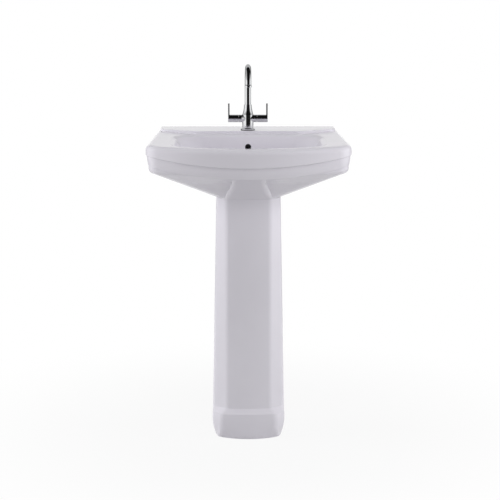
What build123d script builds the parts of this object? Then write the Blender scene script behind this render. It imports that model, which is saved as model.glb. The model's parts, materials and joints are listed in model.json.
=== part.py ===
"""Pedestal wash basin with a two-lever mixer tap, push-down waste and bottle trap.

Millimetres, +X to the user's right, +Y towards the wall, +Z up.
The origin is on the floor, under the middle of the basin.
"""

import math
import os

from build123d import *

os.makedirs("parts", exist_ok=True)

# Basin: overall form
basin_width = 600.0
basin_back_width = 552.0
basin_depth = 490.0
basin_height = 160.0
pedestal_height = 724.0
front_bow = 78.0
front_corner_radius = 62.0
ceramic_wall = 14.0
rim_round = 16.0
deck_rise = 20.0

# Basin: tap ledge along the wall
ledge_rise = 2.0
ledge_middle_depth = 157.0
ledge_corner_depth = 164.0
ledge_end_depth = 92.0
ledge_front_width = 310.0
ledge_end_inset = 6.0
ledge_corner_radius = 40.0
ledge_round = 3.0
ledge_foot_round = 2.0

# Basin: the two stepped bands of the apron
upper_band_height = 54.0
upper_band_end_rise = 29.0
upper_band_round = 3.0
lower_band_height = 33.0
lower_band_end_rise = 34.0
lower_band_step = 3.0
lower_band_lean = 16.0
lower_band_curve = 2.2

# Basin: underside from the bands down to the pedestal seat
dish_seat_inset = 4.0
dish_top_drop = 75.0
dish_side_inset = 10.0
dish_front_inset = 16.0
dish_front_curve = 1.3
dish_back_curve = 2.5
dish_seat_corner = 58.0
dish_top_corner = 44.0
dish_edge_round = 16.0
dish_wall_rise = 38.0
keel_panel = 98.0
keel_width = 114.0
keel_curve = 2.2
keel_overlap = 6.0
keel_tuck = 2.0

# Pedestal
pedestal_top_width = 190.0
pedestal_front_setback = 134.0
pedestal_depth = 196.0
pedestal_panel_bow = 6.0
pedestal_cant = 40.0
pedestal_edge_round = 24.0
shaft_panel = 132.0
plinth_width = 215.0
plinth_panel = 164.0
plinth_height = 76.0
plinth_bevel = 16.0
plinth_step = 9.0
plinth_tuck = 17.0
lug_size = 36.0
lug_thickness = 16.0
floor_screw_spacing = 120.0
floor_screw_setback = 47.0
floor_screw_radius = 4.0

# Basin: bowl
bowl_width = 446.0
bowl_front_rim = 33.0
bowl_ledge_gap = 12.0
bowl_depth = 133.0
bowl_bow = 46.0
bowl_corner_radius = 74.0
bowl_floor_corner_share = 0.13
bowl_side_share = 0.37
bowl_front_share = 0.455
bowl_back_share = 0.17
bowl_curve = 2.2
bowl_section_step = 15
bowl_lip_round = 8.0
bowl_floor_bow = 0.01

# Basin: openings for the tap, the waste and the overflow
tap_deck = 16.0
tap_setback = 117.0
waste_setback = 76.0
waste_boss_radius = 42.0
waste_boss_drop = 9.0
overflow_drop = 23.0
overflow_channel = 12.0
overflow_width = 24.0
overflow_wall = 7.0
overflow_hole_radius = 9.0
tap_hole_radius = 17.5
waste_hole_radius = 22.5
waste_recess_radius = 33.0
waste_recess_depth = 4.0
service_width = 166.0
service_height = 88.0
service_corner = 30.0
wall_bolt_spacing = 280.0
wall_bolt_drop = 50.0
wall_bolt_radius = 7.0

# Fits
running_fit = 0.05
snug_fit = 0.05
loose_fit = 0.4

# Tap body
tap_gasket = 2.0
tap_height = 72.0
tap_flange_radius = 21.0
tap_flange = 2.5
tap_body_radius = 17.0
tap_neck_radius = 11.7
tap_neck_hollow = 1.6
tap_boss_radius = 16.0
tap_boss = 6.0
arm_height = 33.0
arm_radius = 11.5
arm_length = 28.5
arm_root_radius = 15.0
arm_root_length = 9.5
mixing_bore_radius = 5.0
inlet_offset = 7.5
inlet_setback = 4.0
inlet_radius = 4.5
inlet_depth = 14.0
supply_port_x = 19.0
supply_port_radius = 2.2
stud_offset = 10.0
stud_radius = 4.0
stud_grip = 12.0
stud_length = 52.0
stud_chamfer = 0.8
horseshoe_radius = 24.0
horseshoe_slot_width = 27.0
horseshoe_slot_y = 3.5
horseshoe_gasket_thickness = 3.0
horseshoe_plate_thickness = 3.0
fixing_nut_radius = 7.5
fixing_nut_height = 6.5

# Tap valves and handles
cartridge_start = 13.0
cartridge_radius = 8.5
disc_seat = 1.5
disc_radius = 6.0
disc_thickness = 2.5
disc_port_radius = 3.0
spindle_radius = 4.0
spindle_flange = 2.0
spindle_end = 52.0
oring_start = 24.5
oring_section = 1.6
handle_gap = 0.3
hub_end = 56.0
lever_height = 40.0
lever_thickness = 4.5
lever_tip_radius = 6.0
lever_round = 1.2
handle_screw_x = 49.0
handle_screw_radius = 2.0
handle_screw_length = 6.5

# Spout and its outlet
spout_radius = 9.5
spout_bore_radius = 7.5
spout_bend_radius = 50.0
spout_rise = 69.0
spout_collar = 3.0
spout_collar_round = 1.0
spout_gap = 0.3
spigot_radius = 9.5
spigot_bore_radius = 6.3
spigot_length = 28.0
spigot_end_gap = 1.0
stop_screw_radius = 2.0
stop_screw_length = 3.0
stop_screw_drop = 13.0
stop_tip_radius = 1.0
stop_tip = 0.8
stop_groove_depth = 1.2
stop_slack = 1.9
aerator_washer_thickness = 1.0
aerator_radius = 10.3
aerator_height = 7.0
aerator_round = 0.8
aerator_thread = 6.0
aerator_bore_radius = 6.3
aerator_hole_radius = 0.7
aerator_inner_ring = 2.1
aerator_inner_holes = 5
aerator_outer_ring = 4.41
aerator_outer_holes = 11

# Waste and plug
waste_gasket = 2.0
waste_flange_radius = 31.5
waste_flange = 2.5
waste_tail_radius = 20.75
waste_bore_radius = 18.5
waste_tail_length = 78.0
waste_slot_width = 20.0
waste_lower_gasket = 4.0
waste_nut_height = 12.0
spider_rise = 24.0
spider_bar = 5.0
spider_height = 10.0
spider_hub_radius = 7.5
plug_radius = 26.0
plug_thickness = 4.0
plug_travel = 7.5
plug_shut_gap = 0.3
plug_seal_radius = 23.0
plug_seal_thickness = 2.5
stem_radius = 4.0
stem_collar = 3.0

# Bottle trap
trap_washer = 2.5
trap_flange = 2.5
trap_drop = 9.0
trap_radius = 32.0
trap_wall = 3.0
trap_height = 60.0
trap_outlet_rise = 36.0
trap_stub_reach = 58.0
stub_radius = 20.0
pipe_radius = 16.0
pipe_bore_radius = 14.2
pipe_socket = 22.0
pipe_turned = 0.5
pipe_shoulder = 2.0
dip_length = 108.0
union_nut_wall = 6.5
union_nut_grip = 14.0
cup_height = 60.0
cup_grips = 12
cup_grip_radius = 2.0
cup_round = 1.5

# Worked out from the sizes above
y_wall = basin_depth / 2
y_front = -basin_depth / 2
seat_z = pedestal_height
rim_z = seat_z + basin_height
deck_back_z = rim_z + deck_rise
ledge_z = deck_back_z + ledge_rise
band_foot_z = rim_z - upper_band_height - lower_band_height
band_top_z = rim_z - rim_round
dish_edge_z = rim_z - dish_top_drop
collar_front_y = y_front + pedestal_front_setback
collar_back_y = collar_front_y + pedestal_depth
tap_y = y_wall - tap_setback
waste_y = collar_front_y + waste_setback
wall_bolt_z = rim_z - wall_bolt_drop
waste_seat_z = seat_z - waste_boss_drop
floor_screw_y = collar_back_y - floor_screw_setback
keel_top_z = band_foot_z + keel_overlap
keel_front_y = y_front + lower_band_step + lower_band_lean + keel_tuck
top_half = pedestal_top_width / 2


def bowed_outline(front_half, back_half, front_y, back_y, bow, corner):
    """Plan outline: straight back and sides, bowed front, rounded front corners."""
    with BuildLine() as edge:
        back = Line((back_half, back_y), (-back_half, back_y))
        left = Line(back @ 1, (-front_half, front_y + bow))
        front = ThreePointArc(left @ 1, (0, front_y), (front_half, front_y + bow))
        Line(front @ 1, back @ 0)
    face = make_face(edge.edges())
    fillet(face.vertices().sort_by(Axis.Y)[:2], corner)


def apron_outline(inset):
    """Plan outline of the basin, drawn in by inset everywhere but at the wall."""
    bowed_outline(
        basin_width / 2 - inset,
        basin_back_width / 2 - inset,
        y_front + inset,
        y_wall,
        front_bow,
        front_corner_radius - inset,
    )


def cut_below_smile(middle_z, end_rise):
    """Cuts away what lies under a shallow arc that climbs from the middle to both ends."""
    half = max(basin_width, basin_back_width) / 2
    with BuildSketch(Plane.XZ) as under:
        with BuildLine():
            arc = ThreePointArc((-half, middle_z + end_rise), (0, middle_z), (half, middle_z + end_rise))
            Polyline(arc @ 1, (half, seat_z - basin_height), (-half, seat_z - basin_height), arc @ 0)
        make_face()
    extrude(under.sketch, amount=basin_depth, both=True, mode=Mode.SUBTRACT)


def pedestal_outline(half, panel_half, front_y, inset):
    """Plan outline: bowed front panel, canted corners, straight sides running to the back."""
    cant_y = front_y + pedestal_cant + inset
    side = half - inset
    panel = panel_half - inset / 2
    with BuildLine() as edge:
        back = Line((side, collar_back_y + inset), (-side, collar_back_y + inset))
        left = Polyline(back @ 1, (-side, cant_y), (-panel, front_y + pedestal_panel_bow + inset))
        front = ThreePointArc(left @ 1, (0, front_y + inset), (panel, front_y + pedestal_panel_bow + inset))
        Polyline(front @ 1, (side, cant_y), back @ 0)
    face = make_face(edge.edges())
    fillet(face.vertices().sort_by(Axis.Y)[:4], pedestal_edge_round)


def pedestal_section(z, half, panel_half, front_y, inset):
    """One plan section of the pedestal at height z."""
    with BuildSketch(Plane.XY.offset(z)) as section:
        pedestal_outline(half, panel_half, front_y, inset)
    return section.sketch


def lower_band_section(share):
    """Plan section of the lower band: share 0 is behind the rim, 1 is the foot, leaning more and more."""
    with BuildSketch(Plane.XY.offset(band_top_z + (band_foot_z - band_top_z) * share)) as section:
        apron_outline(lower_band_step + lower_band_lean * share**lower_band_curve)
    return section.sketch


# Lower band, stepped in and leaning under
band_shares = (0.0, 0.33, 0.67, 1.0)
with BuildPart() as lower_band:
    loft([lower_band_section(share) for share in band_shares])
    cut_below_smile(band_foot_z, lower_band_end_rise)


def dish_section(share, inset, lift):
    """Plan section of the underside: share 0 is the pedestal seat, 1 is its outer edge."""
    front_share = share**dish_front_curve
    back_share = 1 - (1 - share) ** dish_back_curve
    seat_half = top_half - dish_seat_inset
    seat_front_y = collar_front_y + dish_seat_inset
    half = seat_half + (basin_width / 2 - dish_side_inset - seat_half) * share
    with BuildSketch(Plane.XY.offset(seat_z + (dish_edge_z - seat_z) * share + lift)) as section:
        bowed_outline(
            half - inset,
            half - inset,
            seat_front_y + (y_front + dish_front_inset - seat_front_y) * front_share + inset,
            collar_back_y + (y_wall - lower_band_step - collar_back_y) * back_share,
            pedestal_panel_bow + (front_bow - pedestal_panel_bow) * front_share,
            dish_seat_corner + (dish_top_corner - dish_seat_corner) * share - inset,
        )
    return section.sketch


# Dish: the underside, from the pedestal seat out to the bands
dish_shares = (0.0, 0.25, 0.5, 0.75, 1.0)
with BuildPart() as dish:
    loft([dish_section(share, 0, 0) for share in dish_shares])
    add(dish_section(1, 0, 0))
    extrude(amount=dish_wall_rise)
    dish_edge = dish.edges().filter_by_position(Axis.Z, dish_edge_z - loose_fit, dish_edge_z + loose_fit)
    fillet(dish_edge.sort_by(Axis.Y)[:-1], dish_edge_round)


def keel_section(share):
    """Plan section of the keel: share 0 is the top of the pedestal, 1 is inside the bands."""
    narrowing = 1 - (1 - share) ** keel_curve
    return pedestal_section(
        seat_z + (keel_top_z - seat_z) * share,
        top_half + (keel_width / 2 - top_half) * narrowing,
        (shaft_panel + (keel_panel - shaft_panel) * narrowing) / 2,
        collar_front_y + (keel_front_y - collar_front_y) * share,
        0,
    )


# Keel: the fairing that sweeps the pedestal's front up to the bands
keel_shares = (0.0, 0.3, 0.6, 1.0)
with BuildPart() as keel:
    loft([keel_section(share) for share in keel_shares])

# Ledge: a raised platform with a hollowed front and swept back ends
ledge_half = basin_back_width / 2 - ledge_end_inset


def ledge_outline(inset):
    """Plan outline of the tap ledge, drawn in by inset."""
    half = ledge_half - inset
    corner_half = ledge_front_width / 2 - inset
    corner_y = y_wall - ledge_corner_depth + inset
    with BuildLine() as edge:
        back = Line((half, y_wall), (-half, y_wall))
        left = Polyline(back @ 1, (-half, y_wall - ledge_end_depth + inset), (-corner_half, corner_y))
        front = ThreePointArc(left @ 1, (0, y_wall - ledge_middle_depth + inset), (corner_half, corner_y))
        Polyline(front @ 1, (half, y_wall - ledge_end_depth + inset), back @ 0)
    face = make_face(edge.edges())
    fillet(face.vertices().sort_by(Axis.Y)[:4], ledge_corner_radius)


with BuildPart() as ledge:
    with BuildSketch(Plane.XY.offset(rim_z - ceramic_wall)):
        ledge_outline(0)
    extrude(amount=ledge_z - rim_z + ceramic_wall)
    fillet(ledge.faces().sort_by(Axis.Z)[-1].edges().sort_by(Axis.Y)[:-1], ledge_round)

# Bowl: rounded well whose floor falls to the waste
bowl_front_y = y_front + bowl_front_rim
bowl_back_y = y_wall - ledge_corner_depth - bowl_ledge_gap
bowl_length = bowl_back_y - bowl_front_y
bowl_floor_z = rim_z - bowl_depth
overflow_z = rim_z - overflow_drop
overflow_y = bowl_back_y + ceramic_wall + overflow_channel / 4
overflow_path = (
    (overflow_y, overflow_z + overflow_channel),
    (overflow_y, bowl_floor_z + 2 * ceramic_wall),
    (overflow_y - 3 * ceramic_wall, bowl_floor_z - ceramic_wall),
    (waste_y, bowl_floor_z - 1.5 * ceramic_wall),
)


def bowl_outline(half, front_y, back_y, bow, corner):
    """Plan outline with four rounded corners and a bowed front, which stays an arc where bow is 0."""
    with BuildLine() as edge:
        back = Line((half, back_y), (-half, back_y))
        left = Line(back @ 1, (-half, front_y + bow))
        front = ThreePointArc(left @ 1, (0, front_y - bowl_floor_bow), (half, front_y + bow))
        Line(front @ 1, back @ 0)
    face = make_face(edge.edges())
    fillet(face.vertices(), corner)


def bowl_section(angle, grow):
    """Plan section of the bowl, grown outwards by grow; angle 0 is the rim, 90 the floor."""
    slope = 1 - math.cos(math.radians(angle)) ** (2 / bowl_curve)
    depth_share = math.sin(math.radians(angle)) ** (2 / bowl_curve)
    floor_corner = bowl_length * bowl_floor_corner_share
    with BuildSketch(Plane.XY.offset(rim_z - (bowl_depth + grow) * depth_share)) as section:
        bowl_outline(
            bowl_width / 2 - bowl_width * bowl_side_share * slope + grow,
            bowl_front_y + bowl_length * bowl_front_share * slope - grow,
            bowl_back_y - bowl_length * bowl_back_share * slope + grow,
            bowl_bow * (1 - slope),
            bowl_corner_radius + (floor_corner - bowl_corner_radius) * slope + grow,
        )
    return section.sketch


def bowl_sections(grow):
    """All the sections of the bowl from above the rim down to its floor."""
    with BuildSketch(Plane.XY.offset(ledge_z + bowl_lip_round)) as mouth:
        bowl_outline(
            bowl_width / 2 + grow,
            bowl_front_y - grow,
            bowl_back_y + grow,
            bowl_bow,
            bowl_corner_radius + grow,
        )
    return [mouth.sketch] + [bowl_section(angle, grow) for angle in range(0, 91, bowl_section_step)]


with BuildPart() as bowl:
    loft(bowl_sections(0))

with BuildPart() as bowl_shell:
    loft(bowl_sections(ceramic_wall))

# Upper band with the sloping deck, its rounded rim, the ledge and the mouth of the bowl
deck_normal = Vector(0, -deck_rise, basin_depth).normalized()
normal_match = 0.99999


def deck_face(solid):
    """The sloping top face around the bowl."""
    sloping = solid.faces().filter_by(lambda face: face.normal_at().dot(deck_normal) > normal_match)
    return sloping.sort_by(SortBy.AREA)[-1]


def along_ledge(edge):
    """Whether an edge of the deck runs along the foot of the ledge."""
    middle = edge.center()
    return abs(middle.X) < ledge_half - ledge_corner_radius and middle.Y > bowl_back_y


with BuildPart() as upper_band:
    with BuildSketch(Plane.XY.offset(rim_z - upper_band_height)):
        apron_outline(0)
    extrude(amount=upper_band_height + deck_rise)
    with BuildSketch(Plane.YZ):
        Polygon(
            (y_front, rim_z - upper_band_height),
            (y_wall, rim_z - upper_band_height),
            (y_wall, deck_back_z),
            (y_front, rim_z),
            align=None,
        )
    extrude(amount=basin_width, both=True, mode=Mode.INTERSECT)
    fillet(deck_face(upper_band).edges().sort_by(Axis.Y)[:-1], rim_round)
    cut_below_smile(rim_z - upper_band_height, upper_band_end_rise)
    smile_face = upper_band.faces().filter_by(GeomType.CYLINDER).sort_by(Axis.Z)[0]
    fillet(smile_face.edges().sort_by(Axis.Y)[:-1], upper_band_round)
    add(ledge.part)
    ledge_foot = deck_face(upper_band).outer_wire().edges().filter_by(along_ledge)
    fillet(ledge_foot, ledge_foot_round)
    add(bowl.part, mode=Mode.SUBTRACT)
    fillet(deck_face(upper_band).inner_wires().edges(), bowl_lip_round)

# Hollow behind and around the bowl, open to the pedestal
with BuildPart() as hollow:
    loft([dish_section(share, ceramic_wall, ceramic_wall) for share in dish_shares])
    add(dish_section(1, ceramic_wall, ceramic_wall))
    extrude(amount=dish_top_drop - upper_band_height)
    with BuildSketch(Plane.XY.offset(rim_z - upper_band_height + ceramic_wall)):
        apron_outline(lower_band_step + ceramic_wall)
    extrude(amount=upper_band_height + deck_rise)
    with BuildSketch(Plane.YZ):
        Polygon(
            (y_front, seat_z),
            (y_wall, seat_z),
            (y_wall, deck_back_z - ceramic_wall),
            (y_front, rim_z - ceramic_wall),
            align=None,
        )
    extrude(amount=basin_width, both=True, mode=Mode.INTERSECT)
    with BuildSketch(Plane.XY.offset(rim_z - upper_band_height + ceramic_wall)):
        ledge_outline(ceramic_wall)
    extrude(amount=ledge_z - tap_deck - rim_z + upper_band_height - ceramic_wall)
    add(dish_section(0, ceramic_wall, 0))
    extrude(amount=ceramic_wall + pedestal_panel_bow)
    with BuildSketch(Plane.XZ.offset(-y_wall)):
        with Locations((0, rim_z)):
            Rectangle(basin_width, 3 * basin_height)
    extrude(amount=ceramic_wall, mode=Mode.SUBTRACT)
    add(bowl_shell.part, mode=Mode.SUBTRACT)
    with Locations((0, waste_y, waste_seat_z)):
        Cylinder(
            waste_boss_radius,
            basin_height / 2,
            align=(Align.CENTER, Align.CENTER, Align.MIN),
            mode=Mode.SUBTRACT,
        )
    with BuildSketch(Plane.YZ):
        with BuildLine():
            Polyline(*overflow_path)
        trace(line_width=overflow_channel + 2 * overflow_wall)
    extrude(amount=overflow_width / 2 + overflow_wall, both=True, mode=Mode.SUBTRACT)

with BuildPart() as basin:
    add(lower_band.part)
    add(dish.part)
    add(keel.part)
    add(bowl.part, mode=Mode.SUBTRACT)
    add(upper_band.part)
    add(hollow.part, mode=Mode.SUBTRACT)
    with BuildSketch(Plane.XZ.offset(-y_wall)):
        with Locations((0, seat_z)):
            RectangleRounded(service_width, 2 * service_height, service_corner)
    extrude(amount=y_wall - collar_back_y - ceramic_wall / 2, mode=Mode.SUBTRACT)
    with Locations((0, tap_y, ledge_z)):
        Cylinder(tap_hole_radius, 4 * tap_deck, mode=Mode.SUBTRACT)
    with Locations((0, waste_y, bowl_floor_z - waste_recess_depth)):
        Cylinder(waste_hole_radius, basin_height, mode=Mode.SUBTRACT)
        Cylinder(
            waste_recess_radius,
            bowl_depth / 2,
            align=(Align.CENTER, Align.CENTER, Align.MIN),
            mode=Mode.SUBTRACT,
        )
    with BuildSketch(Plane.YZ):
        with BuildLine():
            Polyline(*overflow_path)
        trace(line_width=overflow_channel)
    extrude(amount=overflow_width / 2, both=True, mode=Mode.SUBTRACT)
    with BuildSketch(Plane.XZ.offset(-overflow_y)):
        with Locations((0, overflow_z)):
            Circle(overflow_hole_radius)
    extrude(amount=2 * ceramic_wall, mode=Mode.SUBTRACT)
    with BuildSketch(Plane.XZ.offset(-y_wall)):
        with Locations((-wall_bolt_spacing / 2, wall_bolt_z), (wall_bolt_spacing / 2, wall_bolt_z)):
            Circle(wall_bolt_radius)
    extrude(amount=2 * ceramic_wall, mode=Mode.SUBTRACT)

# Pedestal: open at the back, with a bevelled plinth
plinth_half = plinth_width / 2
plinth_front_y = collar_front_y - plinth_step
bevel_top_z = plinth_height + plinth_bevel
lug_outer_x = plinth_half - plinth_tuck - ceramic_wall / 2
lug_inner_x = floor_screw_spacing / 2 - lug_size / 2


def plinth_section(z, tuck, inset):
    """One plan section of the plinth, drawn in by tuck at its sides."""
    return pedestal_section(z, plinth_half - tuck, plinth_panel / 2, plinth_front_y + tuck / 2, inset)


def pedestal_form(inset):
    """Plinth, bevel and shaft, each lofted between its own sections."""
    loft(
        [
            plinth_section(0, plinth_tuck, inset),
            plinth_section(plinth_height / 3, plinth_tuck / 4, inset),
            plinth_section(plinth_height, 0, inset),
        ]
    )
    loft(
        [
            plinth_section(plinth_height, 0, inset),
            pedestal_section(bevel_top_z, plinth_half, shaft_panel / 2, collar_front_y, inset),
        ],
        ruled=True,
    )
    loft(
        [
            pedestal_section(bevel_top_z, plinth_half, shaft_panel / 2, collar_front_y, inset),
            pedestal_section(seat_z, top_half, shaft_panel / 2, collar_front_y, inset),
        ],
        ruled=True,
    )


with BuildPart() as pedestal_core:
    pedestal_form(ceramic_wall)

with BuildPart() as pedestal:
    pedestal_form(0)
    add(pedestal_core.part, mode=Mode.SUBTRACT)
    for side in (-1, 1):
        with BuildSketch():
            with Locations((side * (lug_outer_x + lug_inner_x) / 2, floor_screw_y)):
                Rectangle(lug_outer_x - lug_inner_x, lug_size)
        extrude(amount=lug_thickness)
    with Locations((-floor_screw_spacing / 2, floor_screw_y), (floor_screw_spacing / 2, floor_screw_y)):
        Cylinder(floor_screw_radius, 4 * lug_thickness, mode=Mode.SUBTRACT)

# Tap: body with two side arms, standing on a soft gasket
tap_base_z = ledge_z + tap_gasket
arm_z = tap_base_z + arm_height
tap_top_z = tap_base_z + tap_height
stop_screw_z = tap_top_z - stop_screw_drop
spout_oring_levels = (stop_screw_z + 4 * oring_section, stop_screw_z - 5 * oring_section)


def tap_level(z):
    """Level plane on the tap's axis."""
    return Plane((0, tap_y, z))


def arm_plane(side, distance):
    """Plane across an arm, facing outwards; side is -1 for hot and 1 for cold."""
    return Plane((side * distance, tap_y, arm_z), x_dir=(0, 0, 1), z_dir=(side, 0, 0))


def ring(plane, outer, inner, length):
    """A plain ring or sleeve standing on a plane."""
    with BuildPart() as piece:
        with BuildSketch(plane):
            Circle(outer)
            Circle(inner, mode=Mode.SUBTRACT)
        extrude(amount=length)
    return piece


with BuildPart() as tap_body:
    with BuildSketch(Plane.XZ.offset(-tap_y)):
        with BuildLine():
            base = Polyline(
                (0, tap_base_z),
                (tap_flange_radius, tap_base_z),
                (tap_flange_radius, tap_base_z + tap_flange),
                (tap_body_radius, tap_base_z + 2 * tap_flange),
                (tap_body_radius, arm_z + arm_radius),
            )
            neck = ThreePointArc(
                base @ 1,
                (tap_neck_radius + tap_neck_hollow, (arm_z + arm_radius + tap_top_z) / 2),
                (tap_neck_radius, tap_top_z),
            )
            Polyline(neck @ 1, (0, tap_top_z), base @ 0)
        make_face()
    revolve(axis=Axis((0, tap_y, 0), (0, 0, 1)))
    for side in (-1, 1):
        with BuildSketch(Plane((0, tap_y, arm_z))):
            with BuildLine():
                root = Polyline((0, 0), (0, arm_root_radius), (side * arm_root_length, arm_root_radius))
                blend = Line(root @ 1, (side * 2 * arm_root_length, arm_radius))
                Polyline(blend @ 1, (side * arm_length, arm_radius), (side * arm_length, 0), root @ 0)
            make_face()
        revolve(axis=Axis((0, tap_y, arm_z), (1, 0, 0)))
    with Locations((0, tap_y, tap_base_z)):
        Cylinder(tap_boss_radius, tap_boss, align=(Align.CENTER, Align.CENTER, Align.MAX))
    with BuildSketch(tap_level(tap_top_z)):
        Circle(spigot_radius + running_fit)
    extrude(amount=-(spigot_length + spigot_end_gap), mode=Mode.SUBTRACT)
    with BuildSketch(tap_level(arm_z)):
        Circle(spout_bore_radius)
    extrude(amount=tap_top_z - arm_z, mode=Mode.SUBTRACT)
    for side in (-1, 1):
        with BuildSketch(arm_plane(side, 0)):
            Circle(mixing_bore_radius)
        extrude(amount=arm_length, mode=Mode.SUBTRACT)
        with BuildSketch(arm_plane(side, cartridge_start)):
            Circle(cartridge_radius + snug_fit)
        extrude(amount=arm_length, mode=Mode.SUBTRACT)
        inlet_mouth = Vector(side * inlet_offset, tap_y + inlet_setback, tap_base_z - tap_boss)
        inlet_end = inlet_mouth + Vector(0, 0, inlet_depth)
        supply = Vector(side * supply_port_x, tap_y, arm_z) - inlet_end
        with BuildSketch(Plane(inlet_mouth)):
            Circle(inlet_radius)
        extrude(amount=inlet_depth, mode=Mode.SUBTRACT)
        with BuildSketch(Plane(inlet_end - supply.normalized() * inlet_radius / 2, z_dir=supply)):
            Circle(supply_port_radius)
        extrude(amount=supply.length, mode=Mode.SUBTRACT)
    with Locations((0, tap_y - stud_offset, tap_base_z - tap_boss)):
        Cylinder(stud_radius, 2 * stud_grip, mode=Mode.SUBTRACT)
    with BuildSketch(Plane((0, tap_y, stop_screw_z), z_dir=(0, 1, 0))):
        Circle(stop_screw_radius)
    extrude(amount=tap_flange_radius, mode=Mode.SUBTRACT)

tap_base_gasket = ring(tap_level(ledge_z), tap_flange_radius, tap_boss_radius + snug_fit, tap_gasket)

# Tap fixing under the ledge: stud, horseshoe gasket and plate, nut
ledge_under_z = ledge_z - tap_deck
stud_level = Plane((0, tap_y - stud_offset, 0))


def horseshoe(z, thickness):
    """Slotted washer that slips round the supply tails from the front."""
    with BuildPart() as piece:
        with BuildSketch(tap_level(z)):
            Circle(horseshoe_radius)
            with Locations((0, horseshoe_radius - horseshoe_slot_y)):
                Rectangle(horseshoe_slot_width, 2 * horseshoe_radius, mode=Mode.SUBTRACT)
            with Locations((0, -stud_offset)):
                Circle(stud_radius + loose_fit, mode=Mode.SUBTRACT)
        extrude(amount=-thickness)
    return piece


horseshoe_gasket = horseshoe(ledge_under_z, horseshoe_gasket_thickness)
horseshoe_plate = horseshoe(ledge_under_z - horseshoe_gasket_thickness, horseshoe_plate_thickness)
fixing_nut_top_z = ledge_under_z - horseshoe_gasket_thickness - horseshoe_plate_thickness

with BuildPart() as fixing_nut:
    with BuildSketch(stud_level.offset(fixing_nut_top_z)):
        RegularPolygon(fixing_nut_radius, 6)
        Circle(stud_radius, mode=Mode.SUBTRACT)
    extrude(amount=-fixing_nut_height)

with BuildPart() as fixing_stud:
    with BuildSketch(stud_level.offset(tap_base_z - tap_boss + stud_grip)):
        Circle(stud_radius)
    extrude(amount=-stud_length)
    chamfer(fixing_stud.faces().sort_by(Axis.Z)[0].edges(), stud_chamfer)

# Tap valves: one quarter-turn cartridge in each arm
disc_start = cartridge_start + disc_seat
disc_end = disc_start + 2 * disc_thickness + running_fit
chamber_end = disc_end + spindle_flange + loose_fit


def make_cartridge(side):
    """Sleeve that holds the discs and guides the spindle."""
    with BuildPart() as piece:
        with BuildSketch(arm_plane(side, cartridge_start)):
            Circle(cartridge_radius)
        extrude(amount=arm_length - cartridge_start)
        with BuildSketch(arm_plane(side, cartridge_start)):
            Circle(disc_port_radius)
        extrude(amount=disc_seat, mode=Mode.SUBTRACT)
        with BuildSketch(arm_plane(side, disc_start)):
            Circle(disc_radius + loose_fit)
        extrude(amount=chamber_end - disc_start, mode=Mode.SUBTRACT)
        with BuildSketch(arm_plane(side, disc_start)):
            Circle(spindle_radius + running_fit)
        extrude(amount=arm_length, mode=Mode.SUBTRACT)
        with BuildSketch(Plane((side * supply_port_x, tap_y, arm_z))):
            Circle(supply_port_radius)
        extrude(amount=cartridge_radius, both=True, mode=Mode.SUBTRACT)
        with BuildSketch(arm_plane(side, oring_start)):
            Circle(cartridge_radius)
            Circle(cartridge_radius - oring_section, mode=Mode.SUBTRACT)
        extrude(amount=oring_section, mode=Mode.SUBTRACT)
    return piece


def make_disc(side, start):
    """Ceramic disc with its two water ports."""
    with BuildPart() as piece:
        with BuildSketch(arm_plane(side, start)):
            Circle(disc_radius)
            with PolarLocations(disc_radius / 2, 2):
                Circle(disc_port_radius / 2, mode=Mode.SUBTRACT)
        extrude(amount=disc_thickness)
    return piece


def make_spindle(side):
    """Spindle with the flange that drives the moving disc."""
    with BuildPart() as piece:
        with BuildSketch(arm_plane(side, disc_end)):
            Circle(disc_radius - loose_fit)
        extrude(amount=spindle_flange)
        with BuildSketch(arm_plane(side, disc_end)):
            Circle(spindle_radius)
        extrude(amount=spindle_end - disc_end)
    return piece


def make_handle(side):
    """Round hub with a thin teardrop lever standing on its outer end."""
    with BuildPart() as piece:
        with BuildSketch(arm_plane(side, arm_length + handle_gap)):
            Circle(arm_radius)
        extrude(amount=hub_end - arm_length - handle_gap)
        with BuildSketch(arm_plane(side, hub_end)):
            Circle(arm_radius)
            with Locations((lever_height, 0)):
                Circle(lever_tip_radius)
            make_hull()
        extrude(amount=lever_thickness)
        fillet(piece.faces().sort_by(Axis.X)[-1 if side > 0 else 0].edges(), lever_round)
        with BuildSketch(arm_plane(side, arm_length)):
            Circle(spindle_radius)
        extrude(amount=spindle_end - arm_length, mode=Mode.SUBTRACT)
        with BuildSketch(Plane((side * handle_screw_x, tap_y, arm_z), z_dir=(0, 0, -1))):
            Circle(handle_screw_radius)
        extrude(amount=arm_radius, mode=Mode.SUBTRACT)
    return piece


def make_handle_screw(side):
    """Hexagon-socket grub screw, sunk into the underside of the hub."""
    with BuildPart() as piece:
        with BuildSketch(Plane((side * handle_screw_x, tap_y, arm_z - spindle_radius), z_dir=(0, 0, -1))):
            Circle(handle_screw_radius)
        extrude(amount=handle_screw_length)
        with BuildSketch(Plane(piece.faces().sort_by(Axis.Z)[0])):
            RegularPolygon(handle_screw_radius / 2, 6)
        extrude(amount=-handle_screw_length / 2, mode=Mode.SUBTRACT)
    return piece


valve_parts = {}
for side, water in ((-1, "hot"), (1, "cold")):
    valve_parts[water + "_cartridge"] = make_cartridge(side)
    valve_parts[water + "_cartridge_oring"] = ring(
        arm_plane(side, oring_start), cartridge_radius, cartridge_radius - oring_section, oring_section
    )
    valve_parts[water + "_fixed_disc"] = make_disc(side, disc_start)
    valve_parts[water + "_moving_disc"] = make_disc(side, disc_start + disc_thickness + running_fit)
    valve_parts[water + "_spindle"] = make_spindle(side)
    valve_parts[water + "_handle"] = make_handle(side)
    valve_parts[water + "_handle_screw"] = make_handle_screw(side)

# Spout: swivelling gooseneck on a sealed spigot
collar_z = tap_top_z + spout_gap
bend_z = collar_z + spout_rise
outlet_y = tap_y - 2 * spout_bend_radius

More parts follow.
